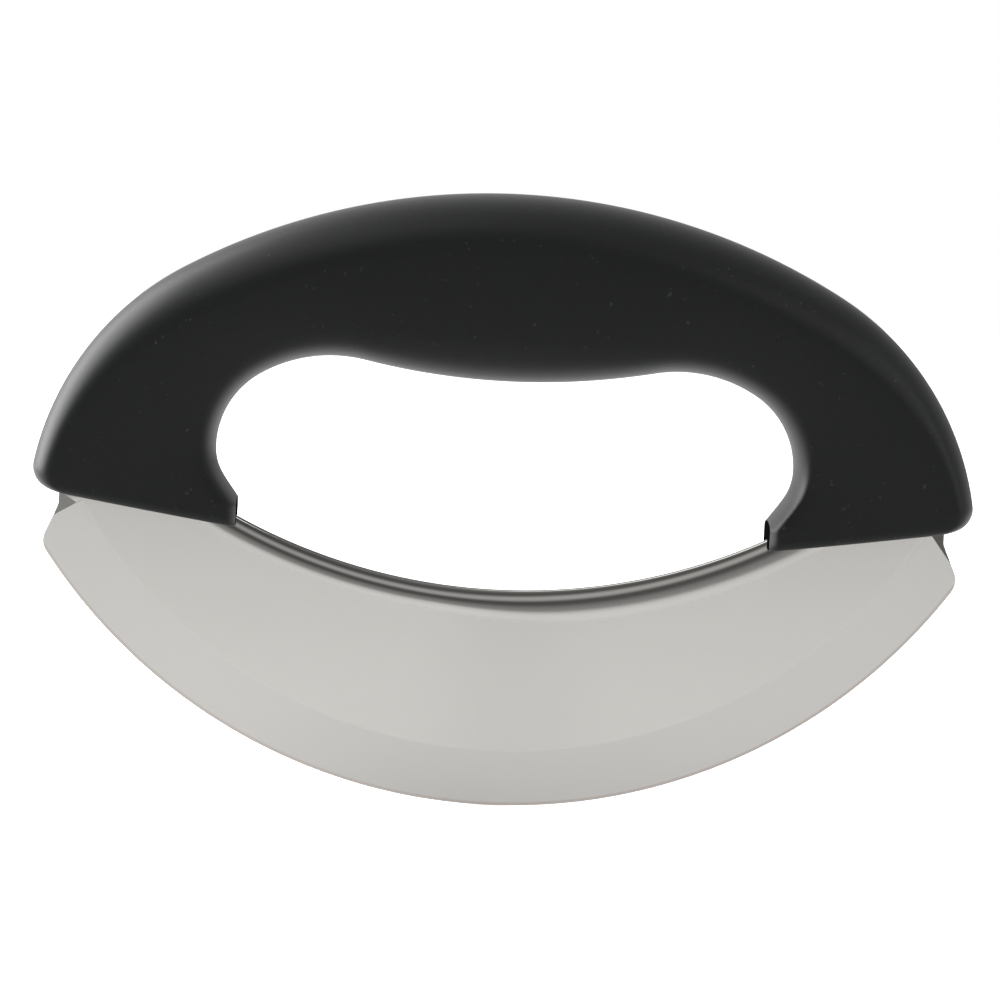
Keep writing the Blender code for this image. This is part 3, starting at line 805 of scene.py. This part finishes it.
class Nodes:
    """A node tree under construction, of a finish or of the studio."""

    def __init__(self, tree):
        self.tree = tree

    def node(self, kind, settings, values, output=0):
        """Adds a node: its settings first, then the values or links of its sockets."""
        made = self.tree.nodes.new(kind)
        for name, value in settings.items():
            if name == "stops":
                elements = made.color_ramp.elements
                while len(elements) < len(value):
                    elements.new(1.0)
                for element, (place, level) in zip(elements, value):
                    element.position = place
                    element.color = (level, level, level, 1.0)
            else:
                setattr(made, name, value)
        for name, value in values.items():
            self.feed(made.inputs[name], value)
        return Signal(self, made.outputs[output])

    def feed(self, socket, value):
        """Links a signal to a socket, or sets the socket's own value."""
        if isinstance(value, Signal):
            self.tree.links.new(value.socket, socket)
        else:
            socket.default_value = value

    def maths(self, operation, *values):
        """What a Math node makes of its values."""
        return self.node("ShaderNodeMath", {"operation": operation}, dict(enumerate(values)))

    def mix_colour(self, factor, first, second, how="MIX"):
        """The first colour at factor 0 and the second at 1, or both multiplied, as the way of mixing says."""
        settings = {"data_type": "RGBA", "blend_type": how}
        return self.node("ShaderNodeMix", settings, {0: factor, 6: first, 7: second}, 2)

    def mix_shader(self, factor, first, second):
        """The first shader at factor 0 and the second at 1."""
        return self.node("ShaderNodeMixShader", {}, {0: factor, 1: first, 2: second})

    def greys(self, value, stops):
        """Grey levels that run straight between stops, given as (value, level)."""
        lowest, highest = stops[0][0], stops[-1][0]
        placed = [((place - lowest) / (highest - lowest), level) for place, level in stops]
        return self.node("ShaderNodeValToRGB", {"stops": placed}, {0: value.between(lowest, highest)})

    def ray_is(self, kind):
        """1 for rays of one kind and 0 for the rest."""
        return self.node("ShaderNodeLightPath", {}, {}, f"Is {kind} Ray")

    def seen_directly(self):
        """1 for what the camera sees, also in gloss or through glass, and 0 for what only lights."""
        plain = self.maths("MAXIMUM", self.ray_is("Camera"), self.ray_is("Glossy"))
        return self.maths("MAXIMUM", plain, self.ray_is("Transmission"))


class Finish(Nodes):
    """A material under construction, with the constants of its Principled shader."""

    def __init__(self, name, constants):
        self.material = bpy.data.materials.new(name)
        self.material.use_nodes = True
        super().__init__(self.material.node_tree)
        self.shader = self.tree.nodes["Principled BSDF"]
        self.shaded = Signal(self, self.shader.outputs[0])
        for socket, value in constants.items():
            self.set(socket, value)
        self.place = self.node("ShaderNodeTexCoord", {}, {}, "Object")
        self.across = self.node("ShaderNodeSeparateXYZ", {}, {0: self.place}, "X")

    def set(self, name, value):
        """Feeds one of the shader's own sockets."""
        self.feed(self.shader.inputs[name], value)

    def stretched(self, scale):
        """The place on the piece, stretched, for a grain that runs one way."""
        values = {"Vector": self.place, "Scale": scale}
        return self.node("ShaderNodeMapping", {"vector_type": "POINT"}, values)

    def noise(self, place, scale, detail, roughness):
        """Soft noise from 0 to 1 at a place."""
        values = {"Vector": place, "Scale": scale, "Detail": detail, "Roughness": roughness}
        return self.node("ShaderNodeTexNoise", {}, values)

    def bump(self, height, depth, strength):
        """A normal that leans as the slope of a height does."""
        values = {"Height": height, "Distance": depth, "Strength": strength}
        return self.node("ShaderNodeBump", {}, values)

    def distance(self, centre):
        """Distance in the XZ plane from a centre."""
        sides = {0: self.place, 1: (1.0, 0.0, 1.0)}
        flat = self.node("ShaderNodeVectorMath", {"operation": "MULTIPLY"}, sides)
        ends = {0: flat, 1: (float(centre[0]), 0.0, float(centre[1]))}
        return self.node("ShaderNodeVectorMath", {"operation": "DISTANCE"}, ends, "Value")

    def unfiled(self, side):
        """0 on the filed flat of one neck and 1 elsewhere."""
        start, _, _, outward = neck_line(side)
        normal = (float(side * outward[0]), 0.0, float(outward[1]))
        ends = {0: self.place, 1: normal}
        beyond = self.node("ShaderNodeVectorMath", {"operation": "DOT_PRODUCT"}, ends, "Value")
        filed = (beyond - float(np.dot(start, outward))).between(0.0, 2 * SNUG)
        return 1.0 - filed * (self.across * side).between(0.0, SNUG)


# Finishes


def satin_steel():
    """Stainless steel: a fine satin face between the grind and the polished spine, and a darker honed edge.

    Depths are counted from the cutting edge and from the top of the spine, along their own radii. A soft
    band down the middle of the face is a little darker. The grind, the spine's ease and the filed flats
    take a darker copy of the steel's colour, as painted shade.
    """
    steel = Finish("satin_steel", {"Base Color": STEEL_COLOUR, "Metallic": 1.0})
    from_edge = EDGE_RADIUS - steel.distance(EDGE_CENTRE)
    from_spine = steel.distance(SPINE_CENTRE) - SPINE_RADIUS
    uneven = steel.across.between(-SPINE_EASE_SHIFT, SPINE_EASE_SHIFT) * 2.0 - 1.0
    from_ease = from_spine - SPINE_EASE_HEIGHT - SPINE_EASE_UNEVEN * uneven
    lines = steel.noise(steel.stretched(LINE_STRETCH), *LINES)
    clouds = steel.noise(steel.place, *CLOUDS)
    satin = from_ease.between(-SATIN_FADE, SATIN_FADE) * steel.unfiled(-1.0) * steel.unfiled(1.0)
    flat = satin * from_edge.between(GRIND_HEIGHT - GRIND_FADE, GRIND_HEIGHT + GRIND_FADE)
    band = steel.across.between(BAND_MIDDLE - BAND_REACH, BAND_MIDDLE)
    band = band * steel.across.between(BAND_MIDDLE + BAND_REACH, BAND_MIDDLE)
    band = band * band * (3.0 - 2.0 * band)
    tone = STEEL_TONE + LINE_TONE * lines * satin + CLOUD_TONE * clouds - BAND_TONE * band * flat
    # Painted shade: the grind, the spine's ease and the filed flats take the darker steel colour, the satin
    # face the plain one
    ground = steel.mix_colour(tone, BLACK, steel.mix_colour(flat, SHADED_STEEL_COLOUR, STEEL_COLOUR))
    honed = from_edge.between(HONED_FROM, HONED_FULL)
    steel.set("Base Color", steel.mix_colour(honed, ground, HONED_COLOUR))
    rise = FACE_ROUGHNESS - SPINE_ROUGHNESS + LINE_ROUGHNESS * lines
    steel.set("Roughness", SPINE_ROUGHNESS + satin * rise)
    steel.set("Normal", steel.bump(lines * satin, *LINE_RELIEF))
    return steel.material


def soft_rubber():
    """Black thermoplastic rubber: matt, with a very fine grain and a few pale specks of dust."""
    constants = {
        "Base Color": RUBBER_COLOUR,
        "Roughness": RUBBER_ROUGHNESS,
        "Specular IOR Level": RUBBER_GLOSS,
        "Sheen Weight": RUBBER_SHEEN,
        "Sheen Roughness": SHEEN_ROUGHNESS,
    }
    rubber = Finish("soft_rubber", constants)
    grain = rubber.noise(rubber.place, *GRAIN)
    specks = rubber.noise(rubber.place, *SPECKS).between(SPECK_FROM, SPECK_FULL)
    black = rubber.mix_colour(RUBBER_TONE + GRAIN_TONE * grain, BLACK, RUBBER_COLOUR)
    rubber.set("Base Color", rubber.mix_colour(specks * SPECK_TONE, black, SPECK_COLOUR))
    rubber.set("Normal", rubber.bump(grain, *GRAIN_RELIEF))
    return rubber.material


def shaded_facet_rubber():
    """The same rubber where the noses of the feet are cut off, painted in shade: darker, dull and rough,
    without gloss or sheen.
    """
    constants = {"Base Color": FACET_SHADE_COLOUR, "Roughness": CUT_ROUGHNESS, "Specular IOR Level": 0.0}
    rubber = Finish("shaded_facet_rubber", constants)
    grain = rubber.noise(rubber.place, *CUT_GRAIN)
    rubber.set("Base Color", rubber.mix_colour(FACET_SHADE_TONE + CUT_GRAIN_TONE * grain, BLACK, FACET_SHADE_COLOUR))
    rubber.set("Normal", rubber.bump(grain, *CUT_GRAIN_RELIEF))
    return rubber.material


def moulded_plastic():
    """Hard black plastic of the core, a shade glossier than the skin."""
    plastic = Finish("moulded_plastic", {"Base Color": PLASTIC_COLOUR})
    swirl = plastic.noise(plastic.place, *SWIRL)
    plastic.set("Roughness", PLASTIC_ROUGHNESS + SWIRL_ROUGHNESS * swirl)
    plastic.set("Normal", plastic.bump(swirl, *SWIRL_RELIEF))
    return plastic.material


def dress(item, *finishes):
    """Gives an item its finishes, in place of any that it has."""
    item.data.materials.clear()
    for finish in finishes:
        item.data.materials.append(finish)


# Studio


def make_floor():
    """A pale floor under the knife, which keeps its soft shadow.

    To the camera it is lifted to white. In gloss it glows with painted light, even near the knife and dimmer
    with distance, as the floor of a studio is beyond its lamps.
    """
    half = FLOOR_SIZE / 2
    mesh = bpy.data.meshes.new("floor")
    corners = [(-half, -half, 0.0), (half, -half, 0.0), (half, half, 0.0), (-half, half, 0.0)]
    mesh.from_pydata(corners, [], [(0, 1, 2, 3)])
    floor = bpy.data.objects.new("floor", mesh)
    bpy.context.scene.collection.objects.link(floor)
    paper = Finish("floor_paper", {"Base Color": FLOOR_COLOUR, "Roughness": FLOOR_ROUGHNESS})
    mesh.materials.append(paper.material)
    lift = paper.node("ShaderNodeEmission", {}, {"Strength": FLOOR_LIFT})
    lifted = paper.node("ShaderNodeAddShader", {}, {0: paper.shaded, 1: lift})
    shown = paper.mix_shader(paper.seen_directly(), paper.shaded, lifted)
    away = paper.node("ShaderNodeVectorMath", {"operation": "LENGTH"}, {0: paper.place}, "Value")
    glow = FLOOR_GLOW + (FLOOR_GLOW_FAR - FLOOR_GLOW) * away.between(FLOOR_LIT, half)
    # Painted light: the floor's glow in gloss, strong near the knife and weaker far off
    sheen = paper.node("ShaderNodeEmission", {}, {"Strength": glow})
    shade = paper.node("ShaderNodeBsdfDiffuse", {}, {"Color": FLOOR_SHADE})
    even = paper.node("ShaderNodeAddShader", {}, {0: sheen, 1: shade})
    whole = paper.mix_shader(paper.ray_is("Glossy"), shown, even)
    paper.feed(paper.tree.nodes["Material Output"].inputs["Surface"], whole)


def make_world():
    """White to the camera, a plain soft light on everything, and in gloss a studio with dark and light parts.

    In gloss the upper front is dark, with one bright strip: angles are counted from the front horizon (0)
    over the top (90) to the horizon behind (180). The right side is darker than the left.
    """
    world = bpy.data.worlds.new("studio")
    bpy.context.scene.world = world
    world.use_nodes = True
    studio = Nodes(world.node_tree)
    way = studio.node("ShaderNodeTexCoord", {}, {}, "Generated")
    right, back, up = (studio.node("ShaderNodeSeparateXYZ", {}, {0: way}, axis) for axis in "XYZ")
    over = studio.greys(studio.maths("DEGREES", studio.maths("ARCTAN2", up, back * -1.0)), GLOSS_OVER)
    gloss = studio.mix_colour(1.0, over, studio.greys(right, GLOSS_ACROSS), "MULTIPLY")
    background = studio.tree.nodes["Background"]
    studio.feed(background.inputs["Color"], studio.mix_colour(studio.ray_is("Glossy"), WHITE, gloss))
    studio.feed(background.inputs["Strength"], AMBIENT + (1.0 - AMBIENT) * studio.seen_directly())


def way_to(azimuth, elevation):
    """Unit vector from the knife towards an azimuth (0 at the viewer, 90 at the right) and an elevation."""
    a, e = math.radians(azimuth), math.radians(elevation)
    return Vector((math.sin(a) * math.cos(e), -math.cos(a) * math.cos(e), math.sin(e)))


def make_panel(name, azimuth, elevation, distance, width, height, power):
    """A soft rectangular lamp that faces the knife."""
    light = bpy.data.lights.new(name, "AREA")
    light.shape = "RECTANGLE"
    light.size = width
    light.size_y = height
    light.energy = power
    lamp = bpy.data.objects.new(name, light)
    away = way_to(azimuth, elevation)
    lamp.location = Vector(LAMP_TARGET) + distance * away
    lamp.rotation_euler = away.to_track_quat("Z", "Y").to_euler()
    bpy.context.scene.collection.objects.link(lamp)


def make_camera():
    """Camera at the photograph's angle, turned so that the knife leans clockwise in the picture."""
    data = bpy.data.cameras.new("camera")
    data.sensor_width = SENSOR_WIDTH
    data.lens = SENSOR_WIDTH * CAMERA_DISTANCE / METRES_PER_PIXEL / IMAGE_PIXELS
    camera = bpy.data.objects.new("camera", data)
    away = way_to(CAMERA_AZIMUTH, CAMERA_ELEVATION)
    camera.location = Vector(CAMERA_TARGET) + CAMERA_DISTANCE * away
    level = away.to_track_quat("Z", "Y")
    roll = Euler((0.0, 0.0, math.radians(CAMERA_ROLL))).to_quaternion()
    camera.rotation_euler = (level @ roll).to_euler()
    bpy.context.scene.collection.objects.link(camera)
    bpy.context.scene.camera = camera


# The knife and its studio

make_camera()

blade = make_blade()
dress(blade, satin_steel())
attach(blade, "root")
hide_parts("blade")

grip = make_grip()
dress(grip, soft_rubber(), shaded_facet_rubber())
mark_facets(grip)
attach(grip, "root")
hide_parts("handle_grip")

core_finish = moulded_plastic()
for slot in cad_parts["handle_core"].material_slots:
    slot.material = core_finish

make_floor()
make_world()
for panel, sizes in PANELS.items():
    make_panel(panel, *sizes)

bpy.context.scene.view_settings.view_transform = "Standard"
